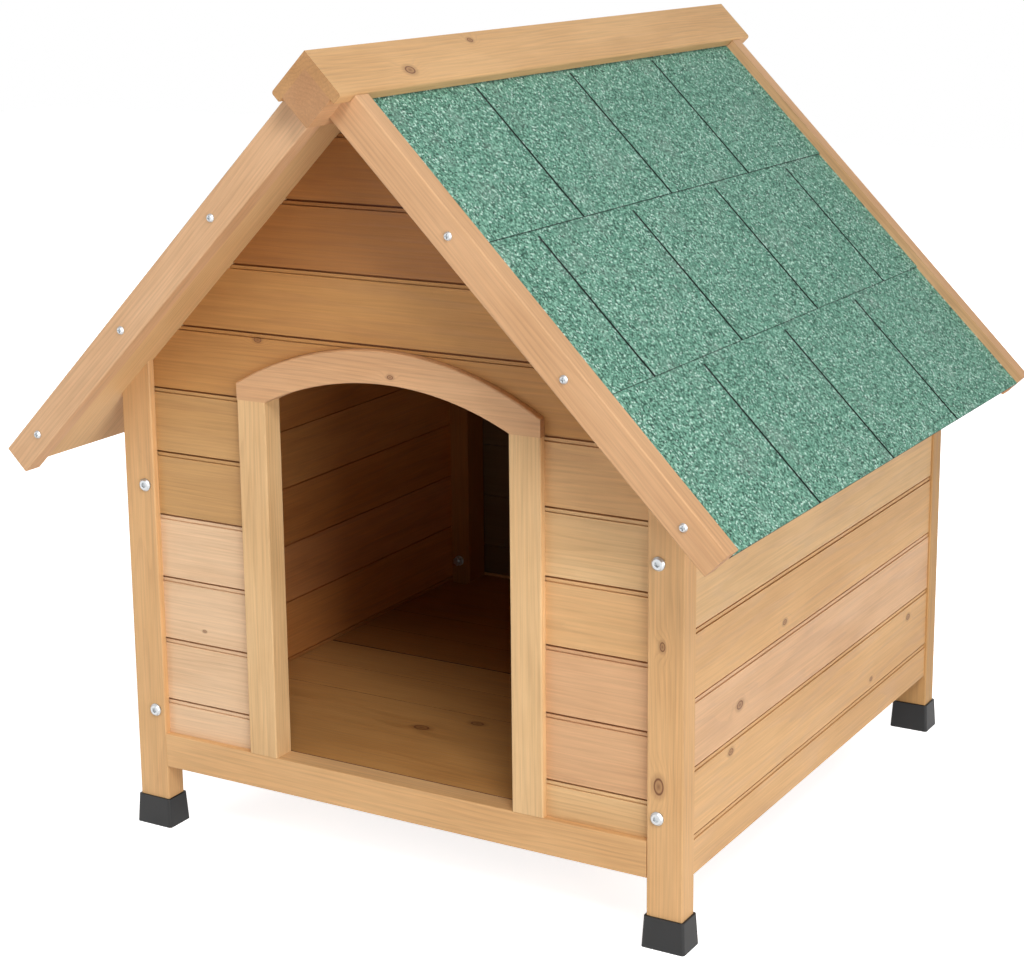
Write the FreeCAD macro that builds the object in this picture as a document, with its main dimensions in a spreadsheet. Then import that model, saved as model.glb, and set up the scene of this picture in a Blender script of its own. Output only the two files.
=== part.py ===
import FreeCAD, Part
import math
import os
import re

import Sketcher

# A gabled wooden dog house on four booted posts. Millimetres, +Z up, the doorway faces -Y and X runs
# across it. The origin is on the ground, under the middle of the whole roof.

SIZES = {
    # the whole house
    "body_width": 622.0,  # across the outer faces of the corner posts
    "body_depth": 659.0,  # front face of the front posts to back face of the rear posts
    "total_height": 809.0,  # ground to the top of the ridge cap
    "roof_width": 780.0,  # across the eave ends of the barge boards
    "roof_pitch": 45.5,  # degrees
    "front_overhang": 83.0,  # face of the front barge boards, in front of the posts
    "rear_overhang": 53.0,
    "cap_overhang": 24.0,  # ridge beam and cap, past the barge boards
    # frame stock
    "post_width": 36.0,
    "post_depth": 25.0,
    "rail_height": 36.0,
    "ground_gap": 66.0,  # ground to the underside of the walls
    "arris": 1.5,  # rounding of the planed edges
    "fit_gap": 0.3,  # clearance of pieces that slip into one another
    # foot caps
    "foot_height": 30.5,
    "foot_wall": 2.2,
    "foot_flare": 1.7,  # how much further out the foot stands at the ground
    "foot_floor": 4.0,
    # wall boards
    "side_course_count": 5.45,  # boards that the side walls take, above the first one
    "end_course_count": 9.27,  # boards that the front and rear walls take, above the first one
    "door_course_count": 6,  # of those, beside the doorway up to the header's crown
    "board_thick": 12.0,
    "front_recess": 7.5,  # boards behind the face of the posts, front and rear
    "side_recess": 2.5,  # side boards behind the outer side of the posts
    "front_strip": 34.0,  # what shows of the ripped first course above the front rail
    "housing_depth": 5.0,  # grooves in posts, rails and jambs that take the board ends
    "tongue_thick": 4.0,
    "tongue_long": 5.0,
    "tongue_inset": 4.2,  # face of the board to the tongue
    "joint_gap": 2.2,  # open shadow line above the land
    "land_high": 3.8,
    "land_deep": 1.1,
    "score_wide": 0.9,  # scored line at the foot of the land
    "score_deep": 2.4,
    "back_gap": 1.6,  # open line of a joint on the boards' inner side
    "back_deep": 2.5,
    # doorway
    "door_width": 270.0,
    "jamb_width": 33.0,
    "arch_rise": 31.3,  # underside of the header, above the jambs
    "header_end": 17.0,  # height of the header's square ends
    "header_crown": 62.9,  # jamb tops to the top of the header
    "crown_gap": 0.9,  # header below the joint over it
    # roof
    "deck_thick": 11.5,
    "deck_inset": 2.0,  # deck short of the eave ends of the barge boards
    "underlay_thick": 1.5,
    "shingle_thick": 2.0,
    "shingle_lift": 1.5,  # step from one course down to the next
    "felt_lip": 0.5,  # felt past the eave ends of the barge boards
    "course_long": 170.5,
    "tab_pitch": 184.5,
    "slot_first": 188.5,  # first slot of the eave course, from the front edge of the felt
    "slot_wide": 3.5,
    "last_tab": 15.0,  # narrowest tab worth leaving at the rear edge
    "slot_stop": 5.0,  # solid felt left above each slot
    "barge_width": 30.5,  # at the eave
    "barge_thick": 20.0,
    "barge_drop": 7.0,  # barge boards below the underside of the deck, at the eave
    "barge_taper": 4.0,  # how much deeper they hang at the ridge
    "beam_side": 36.0,  # square ridge beam, set on its corner
    "cap_width": 52.0,
    "cap_thick": 10.8,
    "cap_round": 3.0,  # rounding of its outer edges
    # inside
    "cleat_width": 25.0,
    "bearer": 20.0,  # square section
    "plank_thick": 15.0,
    "plank_wide": 172.5,  # outer plank of each floor half
    "floor_gap": 2.5,  # floor to the rails
    "side_gap": 1.5,  # floor to the side walls
    "half_gap": 2.0,  # between the floor halves
    "batten_width": 40.0,
    "batten_place": 170.0,  # middle of the house to the middle of a batten
    "nut_room": 13.0,  # floor notch past the corner cleats
    # fastenings
    "bolt_size": 6.0,
    "bolt_inset": 25.0,  # outer side of the post to the bolt
    "bolt_rise": 60.5,  # lower bolt, above the underside of the walls
    "bolt_drop": 90.7,  # upper bolt, below the outer edge of the post's top
    "bolt_head": 13.0,
    "bolt_head_high": 3.4,
    "socket_flats": 5.0,
    "socket_deep": 2.0,
    "washer_wide": 12.5,
    "washer_thick": 1.6,
    "nut_flats": 10.0,
    "nut_high": 5.0,
    "thread_past": 2.5,  # bolt end beyond its nut
    "screw_size": 4.0,
    "screw_head": 8.0,
    "screw_head_high": 2.4,
    "screw_long": 42.0,
    "recess_wide": 4.4,  # cross recess of the screw heads
    "recess_slot": 1.2,
    "recess_deep": 1.5,
    "screw_first": 0.324,  # share of the roof's half width, from the middle of the gable
    "screw_step": 0.286,
}

SCREWS_PER_BARGE = 3
BATTENS_SIDES = (-1, 1)
SIDES = {"left": -1, "right": 1}
ENDS = {"front": 1, "rear": -1}  # the sense in which +Y runs into the house

doc = FreeCAD.newDocument("DogHouse")
sheet = doc.addObject("Spreadsheet::Sheet", "Sizes")
for line, (alias, number) in enumerate(SIZES.items(), start=1):
    sheet.set(f"A{line}", alias)
    sheet.set(f"B{line}", str(number))
    sheet.setAlias(f"B{line}", alias)
doc.recompute()
nodes = {}


# ---------------------------------------------------------------- expressions


def ex(text):
    """The same sum with each size's name pointing at its cell."""
    return re.sub(r"[a-z]\w*", lambda m: f"Sizes.{m[0]}" if m[0] in SIZES else m[0], str(text))


def value(text):
    return float(sheet.evalExpression(ex(text)))


FRONT = "(front_overhang - rear_overhang - body_depth) / 2"  # front face of the front posts
BACK = f"({FRONT} + body_depth)"  # back face of the rear posts
POST_OUT = "(body_width / 2)"
POST_IN = "(body_width / 2 - post_width)"
RAIL_TOP = "(ground_gap + rail_height)"
JAMB_IN = "(door_width / 2)"
JAMB_OUT = "(door_width / 2 + jamb_width)"
SIDE_FACE = "(body_width / 2 - side_recess)"
SIDE_BACK = f"({SIDE_FACE} - board_thick)"
FELT = "(underlay_thick + shingle_thick)"
DECK_RIDGE = f"(total_height - (deck_thick + {FELT} + cap_thick) / cos(roof_pitch))"
BARGE_TOP = "(barge_width - barge_drop)"
EAVE = f"((roof_width / 2 - {BARGE_TOP} * sin(roof_pitch)) / cos(roof_pitch))"
CAP_UNDER = f"(deck_thick + {FELT})"
BEAM_CORNER = "(beam_side * cos(roof_pitch))"  # middle of the house to the beam's side corners
BEAM_BOTTOM = f"({DECK_RIDGE} + {CAP_UNDER} / cos(roof_pitch) - 2 * beam_side * sin(roof_pitch))"
END_JOINT = f"({RAIL_TOP} + front_strip)"  # lowest joint of the front and rear walls
END_COVER = f"(({BEAM_BOTTOM} - {END_JOINT}) / end_course_count)"  # height from joint to joint
SIDE_TOP = f"({DECK_RIDGE} - {SIDE_FACE} * tan(roof_pitch))"
SIDE_COVER = f"(({SIDE_TOP} - {RAIL_TOP}) / side_course_count)"
SPRING = f"({END_JOINT} + door_course_count * {END_COVER} - crown_gap - header_crown)"  # jamb tops
DECK_FRONT = f"({FRONT} - front_overhang + barge_thick)"
DECK_LONG = "(front_overhang + body_depth + rear_overhang - 2 * barge_thick)"
FLOOR_HALF = "((body_depth - 2 * post_depth - 2 * floor_gap - half_gap) / 2)"
BOLT_X = f"({POST_OUT} - bolt_inset)"
BOLT_HEIGHTS = {
    "low": "(ground_gap + bolt_rise)",
    "high": f"({DECK_RIDGE} - {POST_OUT} * tan(roof_pitch) - bolt_drop)",
}


def on_roof(along, off):
    """A point of the gable: along the slope from the ridge, and off the deck's underside."""
    across = f"(({along}) * cos(roof_pitch) + ({off}) * sin(roof_pitch))"
    up = f"({DECK_RIDGE} - ({along}) * sin(roof_pitch) + ({off}) * cos(roof_pitch))"
    return across, up


def roof_at(across, off="0"):
    """Height of the plane that lies off the deck's underside, at a distance from the middle."""
    return f"({DECK_RIDGE} - ({across}) * tan(roof_pitch) + ({off}) / cos(roof_pitch))"


def beam_at(off):
    """Where the plane that lies off the deck's underside meets a lower side of the ridge beam."""
    across = f"(({roof_at('0', off)} - {BEAM_BOTTOM}) / (2 * tan(roof_pitch)))"
    return across, f"({BEAM_BOTTOM} + {across} * tan(roof_pitch))"


def mirrored(points, sense):
    return [(f"{sense} * ({p[0]})", *p[1:]) for p in points]


# ---------------------------------------------------------------- modelling


def add_body(name, x="0", y="0", z="0"):
    body = doc.addObject("PartDesign::Body", name)
    body.Label = name
    for axis, place in (("x", x), ("y", y), ("z", z)):
        body.setExpression(f"Placement.Base.{axis}", ex(place))
    return body


def add_sketch(body, plane, level="0"):
    """A sketch on one of the body's own planes, lifted along that plane's normal."""
    sketch = body.newObject("Sketcher::SketchObject", f"{body.Name}_sketch")
    support = next(f for f in body.Origin.OriginFeatures if f.Role == f"{plane}_Plane")
    sketch.AttachmentSupport = [(support, "")]
    sketch.MapMode = "FlatFace"
    sketch.setExpression("AttachmentOffset.Base.z", ex(level))
    return sketch


def bind(sketch, kind, places, text):
    row = sketch.addConstraint(Sketcher.Constraint(kind, *places, value(text)))
    sketch.setExpression(f"Constraints[{row}]", ex(text))


def closed_outline(sketch, points):
    """Lines through the points. A point (x, y, rise) starts an arc that bulges by rise to its right."""
    corners = [(value(p[0]), value(p[1])) for p in points]
    starts, ends = [], []
    for here, point in enumerate(points):
        (x0, y0), (x1, y1) = corners[here], corners[(here + 1) % len(points)]
        a, b = FreeCAD.Vector(x0, y0, 0), FreeCAD.Vector(x1, y1, 0)
        if len(point) == 2:
            row = sketch.addGeometry(Part.LineSegment(a, b))
            starts.append((row, 1))
            ends.append((row, 2))
            continue
        rise, chord = value(point[2]), a.distanceToPoint(b)
        radius = (chord**2 / 4 + rise**2) / (2 * abs(rise))
        outward = FreeCAD.Vector(y1 - y0, x0 - x1, 0).normalize() * math.copysign(1, rise)
        centre = (a + b) / 2 + outward * (abs(rise) - radius)
        first, last = (a, b) if rise > 0 else (b, a)
        turn = [math.atan2(p.y - centre.y, p.x - centre.x) for p in (first, last)]
        circle = Part.Circle(centre, FreeCAD.Vector(0, 0, 1), radius)
        row = sketch.addGeometry(Part.ArcOfCircle(circle, turn[0], turn[1]))
        starts.append((row, 1 if rise > 0 else 2))
        ends.append((row, 2 if rise > 0 else 1))
        half = f"(({points[here][0]}) - ({points[(here + 1) % len(points)][0]})) / 2"
        bind(sketch, "Radius", (row,), f"(({half})^2 + ({point[2]})^2) / (2 * abs({point[2]}))")
    for here in range(len(points)):
        meets = starts[(here + 1) % len(points)]
        sketch.addConstraint(Sketcher.Constraint("Coincident", *ends[here], *meets))
        bind(sketch, "DistanceX", (-1, 1, *starts[here]), points[here][0])
        bind(sketch, "DistanceY", (-1, 1, *starts[here]), points[here][1])
    return sketch


def circles(sketch, centres, diameter):
    for x, y in centres:
        place = FreeCAD.Vector(value(x), value(y), 0)
        ring = Part.Circle(place, FreeCAD.Vector(0, 0, 1), value(diameter) / 2)
        row = sketch.addGeometry(ring)
        bind(sketch, "DistanceX", (-1, 1, row, 3), x)
        bind(sketch, "DistanceY", (-1, 1, row, 3), y)
        bind(sketch, "Diameter", (row,), diameter)
    return sketch


def pad(body, sketch, length, backwards=False, both_ways=False):
    feature = body.newObject("PartDesign::Pad", f"{body.Name}_pad")
    feature.Profile = sketch
    feature.setExpression("Length", ex(length))
    feature.Reversed = backwards
    if both_ways:
        feature.SideType = "Symmetric"
    return feature


def pocket(body, sketch, length=None, backwards=False, both_ways=False):
    """Cuts against the sketch's normal, or along it if backwards, to a depth or all the way."""
    feature = body.newObject("PartDesign::Pocket", f"{body.Name}_pocket")
    feature.Profile = sketch
    feature.Reversed = backwards
    if length is None:
        feature.Type = "ThroughAll"
    else:
        feature.setExpression("Length", ex(length))
    if both_ways:
        feature.SideType = "Symmetric"
    return feature


def soften(body, wanted, radius="arris"):
    """Rounds the edges of the body's last feature for which wanted(edge) holds."""
    doc.recompute()
    base = body.Tip
    edges = [f"Edge{n}" for n, edge in enumerate(base.Shape.Edges, start=1) if wanted(edge)]
    feature = body.newObject("PartDesign::Fillet", f"{body.Name}_arris")
    feature.Base = (base, edges)
    feature.setExpression("Radius", ex(radius))
    return feature


def runs(edge, direction):
    """Whether a straight edge runs along x, y or z."""
    if edge.Curve.TypeId != "Part::GeomLine":
        return False
    way = edge.tangentAt(edge.FirstParameter)
    return abs(getattr(way, direction)) > 0.999


def near(number, *texts):
    return any(abs(number - value(text)) < 0.01 for text in texts)


def keep(name, obj):
    obj.Label = name
    nodes[name] = obj
    return obj


def boolean(kind, name, base, tool):
    obj = doc.addObject(f"Part::{kind}", name)
    obj.Label = name
    obj.Base = base
    obj.Tool = tool
    return obj


def group(name, members):
    obj = doc.addObject("Part::Compound", name)
    obj.Links = members
    return keep(name, obj)


def gable_piece(name, points, length, y):
    """A piece whose outline is drawn on the gable and which runs back from y."""
    body = add_body(name, y=y)
    pad(body, closed_outline(add_sketch(body, "XZ"), points), length, backwards=True)
    return body


# ---------------------------------------------------------------- frame


def post(side, end):
    """A corner post: roof-cut top, a groove for the wall boards and two bolt holes."""
    sense = SIDES[side]
    place = FRONT if end == "front" else f"{BACK} - post_depth"
    points = [
        (POST_OUT, "foot_floor"),
        (POST_IN, "foot_floor"),
        (POST_IN, roof_at(POST_IN)),
        (POST_OUT, roof_at(POST_OUT)),
    ]
    body = gable_piece(f"post_{end}_{side}", mirrored(points, sense), "post_depth", place)
    soften(body, lambda e: runs(e, "z"))
    front = "front_recess" if end == "front" else "post_depth - front_recess - board_thick"
    near_y, far_y = f"{front} - fit_gap / 2", f"{front} + board_thick + fit_gap / 2"
    groove = [
        (f"{POST_IN} - post_width", near_y),
        (f"{POST_IN} + housing_depth", near_y),
        (f"{POST_IN} + housing_depth", far_y),
        (f"{POST_IN} - post_width", far_y),
    ]
    base = add_sketch(body, "XY", "ground_gap")
    pocket(body, closed_outline(base, mirrored(groove, sense)), backwards=True)
    centres = [(f"{sense} * {BOLT_X}", h) for h in BOLT_HEIGHTS.values()]
    holes = circles(add_sketch(body, "XZ"), centres, "bolt_size + fit_gap")
    pocket(body, holes, "4 * post_depth", both_ways=True)
    keep(body.Name, body)


def foot_cap(side, end):
    """A boot moulded to slip over the foot of a post, flared towards the ground."""
    sense = SIDES[side]
    middle_y = f"{FRONT} + post_depth / 2" if end == "front" else f"{BACK} - post_depth / 2"
    body = add_body(f"foot_cap_{end}_{side}", x=f"{sense} * ({POST_OUT} - post_width / 2)", y=middle_y)

    def rectangle(level, spare):
        w, d = f"(post_width / 2 + {spare})", f"(post_depth / 2 + {spare})"
        points = [(f"-{w}", f"-{d}"), (w, f"-{d}"), (w, d), (f"-{w}", d)]
        return closed_outline(add_sketch(body, "XY", level), points)

    block = pad(body, rectangle("0", "foot_wall + foot_flare"), "foot_height")
    block.setExpression("TaperAngle", ex("-atan(foot_flare / foot_height)"))
    soften(body, lambda e: abs(e.tangentAt(e.FirstParameter).z) > 0.9, "2 * arris")
    soften(body, lambda e: near(e.CenterOfMass.z, "foot_height"), "arris / 2")
    pocket(body, rectangle("foot_height", "fit_gap / 3"), "foot_height - foot_floor")
    keep(body.Name, body)


def bottom_rail(name, end):
    """The rail between two posts. Its grooves stop short of the doorway at the front."""
    place = FRONT if end == "front" else f"{BACK} - post_depth"
    points = [
        (f"-{POST_IN}", "ground_gap"),
        (POST_IN, "ground_gap"),
        (POST_IN, RAIL_TOP),
        (f"-{POST_IN}", RAIL_TOP),
    ]
    body = gable_piece(name, points, "post_depth", place)
    soften(body, lambda e: runs(e, "x"))
    front = "front_recess" if end == "front" else "post_depth - front_recess - board_thick"
    near_y, far_y = f"{front} - fit_gap / 2", f"{front} + board_thick + fit_gap / 2"
    stop = f"({JAMB_OUT} - housing_depth)" if end == "front" else "0"
    for sense in SIDES.values():
        groove = [(stop, near_y), (POST_IN, near_y), (POST_IN, far_y), (stop, far_y)]
        top = add_sketch(body, "XY", RAIL_TOP)
        pocket(body, closed_outline(top, mirrored(groove, sense)), "housing_depth")
    keep(name, body)


def door_jamb(side):
    """An upright beside the doorway, flush with the posts and grooved for the boards."""
    sense = SIDES[side]
    points = [(JAMB_IN, RAIL_TOP), (JAMB_OUT, RAIL_TOP), (JAMB_OUT, SPRING), (JAMB_IN, SPRING)]
    body = gable_piece(f"door_jamb_{side}", mirrored(points, sense), "post_depth", FRONT)
    soften(body, lambda e: runs(e, "z"))
    near_y = "front_recess - fit_gap / 2"
    far_y = "front_recess + board_thick + fit_gap / 2"
    inner, outer = f"{JAMB_OUT} - housing_depth", f"{JAMB_OUT} + jamb_width"
    groove = [(inner, near_y), (outer, near_y), (outer, far_y), (inner, far_y)]
    foot = add_sketch(body, "XY", RAIL_TOP)
    pocket(body, closed_outline(foot, mirrored(groove, sense)), backwards=True)
    keep(body.Name, body)


def header_points(spare):
    """The arched header's outline, grown by spare at its ends and top."""
    end, top = f"({JAMB_OUT} + {spare})", f"({SPRING} + header_end + {spare})"
    return [
        (f"-{JAMB_IN}", SPRING, "-arch_rise"),
        (JAMB_IN, SPRING),
        (end, SPRING),
        (end, top, "header_crown - header_end"),
        (f"-{end}", top),
        (f"-{end}", SPRING),
    ]


def door_header():
    """One sawn board that arches over the doorway and stands on the jambs."""
    body = gable_piece("door_header", header_points("0"), "post_depth", FRONT)
    soften(body, lambda e: e.Curve.TypeId == "Part::GeomCircle")
    keep("door_header", body)


# ---------------------------------------------------------------- wall boards


def board_profile(cover):
    """A board's section: depth from its face, and height from the joint below it."""
    low = "(joint_gap + land_high) / 2"  # half of what shows as the joint
    shoulder = f"({cover} - {low})"
    land_top = f"({cover} + {low} - joint_gap)"
    back_top = f"({cover} + {low})"
    tongue_far = "(tongue_inset + tongue_thick)"
    slack = "(fit_gap / 3)"
    return [
        ("0", f"{low}"),
        ("0", shoulder),
        ("score_deep", shoulder),
        ("score_deep", f"{shoulder} + score_wide"),
        ("land_deep", f"{shoulder} + score_wide"),
        ("land_deep", land_top),
        ("tongue_inset", land_top),
        ("tongue_inset", f"{back_top} + tongue_long"),
        (tongue_far, f"{back_top} + tongue_long"),
        (tongue_far, back_top),
        ("board_thick - back_deep", back_top),
        ("board_thick - back_deep", f"{back_top} - back_gap"),
        ("board_thick", f"{back_top} - back_gap"),
        ("board_thick", f"{low}"),
        (f"{tongue_far} + {slack}", f"{low}"),
        (f"{tongue_far} + {slack}", f"{low} + tongue_long + fit_gap"),
        (f"tongue_inset - {slack}", f"{low} + tongue_long + fit_gap"),
        (f"tongue_inset - {slack}", f"{low}"),
    ]


def courses(count):
    """How many boards that is, with the ripped first one and a cut one at the top."""
    return 1 + math.ceil(value(count))


def wall_end_outline(name, end):
    """The space between the posts, from the rail's groove to the underside of the roof."""
    reach = f"({POST_IN} + housing_depth - fit_gap)"
    floor = f"({RAIL_TOP} - housing_depth + fit_gap)"
    points = [
        (f"-{reach}", floor),
        (reach, floor),
        (reach, roof_at(reach)),
        beam_at("0"),
        ("0", BEAM_BOTTOM),
        *mirrored([beam_at("0")], -1),
        (f"-{reach}", roof_at(reach)),
    ]
    return gable_piece(name, points, "post_depth", FRONT if end == "front" else f"{BACK} - post_depth")


def end_wall_boards(end, cut_out=None):
    """The courses of the front or rear wall, each sawn to the gable and the doorway."""
    outline = wall_end_outline(f"{end}_wall_outline", end)
    first = f"({END_JOINT} - {END_COVER})"
    sense = ENDS[end]
    face = f"{FRONT} + front_recess" if end == "front" else f"{BACK} - front_recess"
    width = f"2 * ({POST_IN} + housing_depth - fit_gap)"
    boards = []
    for course in range(courses("end_course_count")):
        blank = add_body(f"{end}_blank_{course + 1}", y=face, z=f"{first} + {course} * {END_COVER}")
        points = [(f"{sense} * ({u})", v) for u, v in board_profile(END_COVER)]
        pad(blank, closed_outline(add_sketch(blank, "YZ"), points), width, both_ways=True)
        board = boolean("Common", f"{end}_board_{course + 1}", blank, outline)
        if cut_out:
            board.Label = f"{end}_uncut_{course + 1}"
            board = boolean("Cut", f"{end}_board_{course + 1}_sawn", board, cut_out)
        boards.append(board)
    return boards


def doorway_cut_out():
    """What the front boards leave free for the doorway, its jambs and its header."""
    room = "fit_gap"
    body = gable_piece("doorway_cut_out", header_points(room)[1:], "post_depth", FRONT)
    edge = f"({JAMB_OUT} - housing_depth + {room})"
    low = [
        (f"-{edge}", "ground_gap"),
        (edge, "ground_gap"),
        (edge, f"{SPRING} + header_end / 2"),
        (f"-{edge}", f"{SPRING} + header_end / 2"),
    ]
    pad(body, closed_outline(add_sketch(body, "XZ"), low), "post_depth", backwards=True)
    return body


def front_wall():
    for course, board in enumerate(end_wall_boards("front", doorway_cut_out()), start=1):
        keep(f"front_board_{course}", board)


def rear_wall():
    group("rear_boards", end_wall_boards("rear"))


def side_wall(side):
    """A side wall's courses. They run between the posts and are cut to the roof's underside."""
    sense = SIDES[side]
    points = [
        (SIDE_FACE, "ground_gap"),
        (SIDE_BACK, "ground_gap"),
        (SIDE_BACK, roof_at(SIDE_BACK)),
        (SIDE_FACE, roof_at(SIDE_FACE)),
    ]
    long = "(body_depth - 2 * post_depth)"
    start = f"{FRONT} + post_depth"
    outline = gable_piece(f"{side}_wall_outline", mirrored(points, sense), long, start)
    first = f"({RAIL_TOP} - {SIDE_COVER})"
    for course in range(courses("side_course_count")):
        blank = add_body(
            f"{side}_blank_{course + 1}",
            x=f"{sense} * {SIDE_FACE}",
            y=start,
            z=f"{first} + {course} * {SIDE_COVER}",
        )
        section = [(f"{-sense} * ({u})", v) for u, v in board_profile(SIDE_COVER)]
        pad(blank, closed_outline(add_sketch(blank, "XZ"), section), long, backwards=True)
        name = f"side_board_{side}_{course + 1}"
        keep(name, boolean("Common", name, blank, outline))


# ---------------------------------------------------------------- inside


def corner_cleat(side, end):
    """An upright in a corner, nailed behind the side boards and bolted to the post."""
    sense = SIDES[side]
    inner = f"({SIDE_BACK} - cleat_width)"
    near_y = f"{FRONT} + post_depth" if end == "front" else f"{BACK} - post_depth - post_width"
    points = [
        (SIDE_BACK, "ground_gap"),
        (inner, "ground_gap"),
        (inner, roof_at(inner)),
        (SIDE_BACK, roof_at(SIDE_BACK)),
    ]
    body = gable_piece(f"corner_cleat_{end}_{side}", mirrored(points, sense), "post_width", near_y)
    centres = [(f"{sense} * {BOLT_X}", h) for h in BOLT_HEIGHTS.values()]
    holes = circles(add_sketch(body, "XZ"), centres, "bolt_size + fit_gap")
    pocket(body, holes, "4 * post_width", both_ways=True)
    return body


def floor_bearers():
    """Rails along the side walls, between the corner cleats, that the floor lies on."""
    bearers = []
    for side, sense in SIDES.items():
        points = [
            (SIDE_BACK, "ground_gap"),
            (f"{SIDE_BACK} - bearer", "ground_gap"),
            (f"{SIDE_BACK} - bearer", "ground_gap + bearer"),
            (SIDE_BACK, "ground_gap + bearer"),
        ]
        long = "body_depth - 2 * post_depth - 2 * post_width"
        start = f"{FRONT} + post_depth + post_width"
        bearers.append(gable_piece(f"floor_bearer_{side}", mirrored(points, sense), long, start))
    group("floor_bearers", bearers)


def floor_half(end):
    """Half of the floor: planks across the house on two battens, notched round the corner cleats."""
    sense = ENDS[end]
    edge = f"{FRONT} + post_depth + floor_gap" if end == "front" else f"{BACK} - post_depth - floor_gap"
    reach = f"({SIDE_BACK} - side_gap)"
    notch_x = f"({SIDE_BACK} - cleat_width - side_gap)"
    notch_y = "(post_width - floor_gap + nut_room)"
    narrow = f"(({FLOOR_HALF} - plank_wide) / 2)"
    planks = []

    def plank(number, points):
        body = add_body(f"floor_plank_{end}_{number}", y=edge, z="ground_gap + bearer")
        turned = [(x, f"{sense} * ({y})") for x, y in points]
        pad(body, closed_outline(add_sketch(body, "XY"), turned), "plank_thick")
        soften(body, lambda e: runs(e, "x") and near(e.CenterOfMass.z, "plank_thick"), "arris / 2")
        planks.append(body)

    plank(1, [
        (f"-{notch_x}", "0"),
        (notch_x, "0"),
        (notch_x, notch_y),
        (reach, notch_y),
        (reach, "plank_wide"),
        (f"-{reach}", "plank_wide"),
        (f"-{reach}", notch_y),
        (f"-{notch_x}", notch_y),
    ])
    for number in (2, 3):
        low = f"(plank_wide + {number - 2} * {narrow})"
        high = f"({low} + {narrow})"
        plank(number, [(f"-{reach}", low), (reach, low), (reach, high), (f"-{reach}", high)])
    group(f"floor_planks_{end}", planks)

    battens = []
    for number, across in enumerate(BATTENS_SIDES, start=1):
        body = add_body(
            f"floor_batten_{end}_{number}",
            x=f"{across} * batten_place",
            y=f"{edge} + {sense} * {FLOOR_HALF} / 2",
            z="ground_gap",
        )
        w, d = "(batten_width / 2)", f"({FLOOR_HALF} / 2 - post_depth / 2)"
        points = [(f"-{w}", f"-{d}"), (w, f"-{d}"), (w, d), (f"-{w}", d)]
        pad(body, closed_outline(add_sketch(body, "XY"), points), "bearer")
        battens.append(body)
    group(f"floor_battens_{end}", battens)


# ---------------------------------------------------------------- roof


def screw_places(sense):
    """Where the barge screws go in: at the middle of the deck's edge."""
    places = []
    for number in range(SCREWS_PER_BARGE):
        across = f"(roof_width / 2 * (screw_first + {number} * screw_step))"
        places.append((f"{sense} * {across}", roof_at(across, "deck_thick / 2 + barge_drop / 4")))
    return places


def ridge_beam():
    """A square beam on its corner. The cap lies on its upper sides, the decks butt its lower ones."""
    points = [
        ("0", BEAM_BOTTOM),
        beam_at(CAP_UNDER),
        ("0", roof_at("0", CAP_UNDER)),
        *mirrored([beam_at(CAP_UNDER)], -1),
    ]
    whole = "front_overhang + body_depth + rear_overhang + 2 * cap_overhang"
    body = gable_piece("ridge_beam", points, whole, f"{FRONT} - front_overhang - cap_overhang")
    soften(body, lambda e: runs(e, "y") and near(e.CenterOfMass.z, BEAM_BOTTOM))
    keep("ridge_beam", body)


def ridge_cap(side):
    """One of the two boards mitred over the ridge."""
    top = f"({CAP_UNDER} + cap_thick)"
    edge = f"(cap_width - {top} * tan(roof_pitch))"
    points = [
        ("0", roof_at("0", CAP_UNDER)),
        on_roof(edge, CAP_UNDER),
        on_roof(edge, top),
        ("0", roof_at("0", top)),
    ]
    whole = "front_overhang + body_depth + rear_overhang + 2 * cap_overhang"
    start = f"{FRONT} - front_overhang - cap_overhang"
    body = gable_piece(f"ridge_cap_{side}", mirrored(points, SIDES[side]), whole, start)
    outer = on_roof(edge, top)[0]
    soften(body, lambda e: runs(e, "y") and near(abs(e.CenterOfMass.x), outer), "cap_round")
    keep(body.Name, body)


def roof_deck(side):
    """A sheet on the walls, from the ridge beam to the eave, bored at its ends for the screws."""
    sense = SIDES[side]
    eave = f"({EAVE} - deck_inset)"
    points = [
        beam_at("0"),
        on_roof(eave, "0"),
        on_roof(eave, "deck_thick"),
        beam_at("deck_thick"),
    ]
    body = gable_piece(f"roof_deck_{side}", mirrored(points, sense), DECK_LONG, DECK_FRONT)
    for level, into_house in (("0", True), (f"-{DECK_LONG}", False)):
        holes = circles(add_sketch(body, "XZ", level), screw_places(sense), "screw_size + fit_gap / 3")
        pocket(body, holes, "screw_long - barge_thick + fit_gap", backwards=not into_house)
    keep(body.Name, body)


def barge_board(side, end):
    """A tapered facing board along the end of the roof, cut to the beam and under the cap's edge."""
    sense = SIDES[side]
    cap_edge = f"(cap_width - ({CAP_UNDER} + cap_thick) * tan(roof_pitch) + fit_gap)"
    points = [
        beam_at("-(barge_drop + barge_taper)"),
        on_roof(EAVE, "-barge_drop"),
        on_roof(EAVE, BARGE_TOP),
        on_roof(cap_edge, BARGE_TOP),
        on_roof(cap_edge, CAP_UNDER),
        beam_at(CAP_UNDER),
    ]
    place = f"{FRONT} - front_overhang" if end == "front" else f"{BACK} + rear_overhang - barge_thick"
    body = gable_piece(f"barge_board_{end}_{side}", mirrored(points, sense), "barge_thick", place)
    face = "0" if end == "front" else "barge_thick"
    soften(body, lambda e: e.Length > value("2 * cap_width") and near(e.CenterOfMass.y, face))
    holes = circles(add_sketch(body, "XZ"), screw_places(sense), "screw_size + fit_gap / 3")
    pocket(body, holes, "4 * barge_thick", both_ways=True)
    keep(body.Name, body)


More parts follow.
